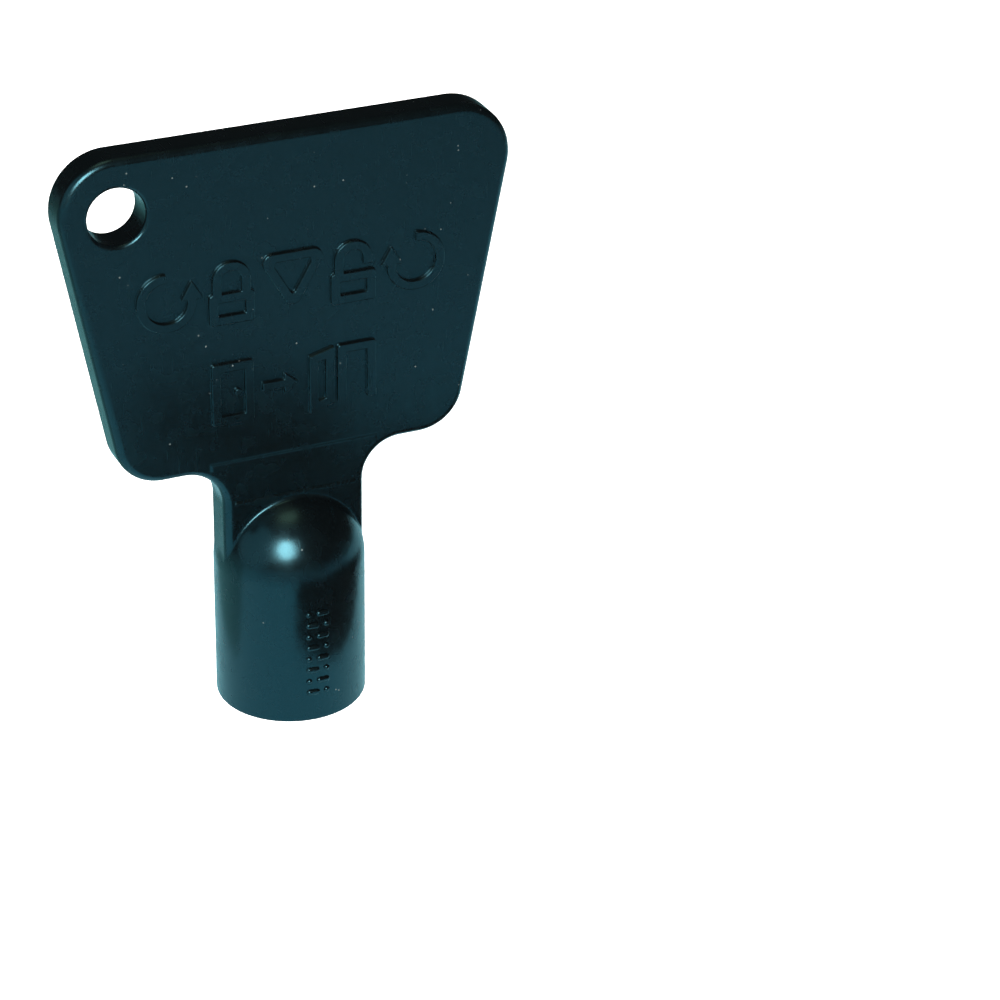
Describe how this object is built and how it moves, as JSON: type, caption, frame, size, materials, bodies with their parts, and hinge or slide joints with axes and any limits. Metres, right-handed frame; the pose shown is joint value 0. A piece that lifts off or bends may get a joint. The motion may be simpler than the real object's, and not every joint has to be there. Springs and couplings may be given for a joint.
{
  "type": "meter cabinet key",
  "caption": "Small moulded plastic cabinet key: flat tapered bow with a lanyard hole, short neck, domed shoulder and a round barrel with a blind triangular socket.",
  "frame": {"origin": "centre of the barrel's open end, on the plane that the key stands on", "axes": "+Z along the barrel's axis from its open end to the top of the bow; -Y out of the front face; +X to the right as seen from the front, with the lanyard hole at -X"},
  "size_m": [0.0446, 0.015, 0.06],
  "materials": {
    "moulding": "near-black self-coloured nylon with a smooth moulded gloss"
  },
  "bodies": {
    "root": {"bow_plate": "moulding", "neck_web": "moulding", "shoulder": "moulding", "barrel": "moulding", "front_turn_arrows": "moulding", "front_lock_symbols": "moulding", "front_drive_symbol": "moulding", "front_door_symbols": "moulding", "back_drive_symbols": "moulding", "back_door_symbols": "moulding", "back_lock_symbols": "moulding", "barrel_pips": "moulding"}
  },
  "joints": []
}
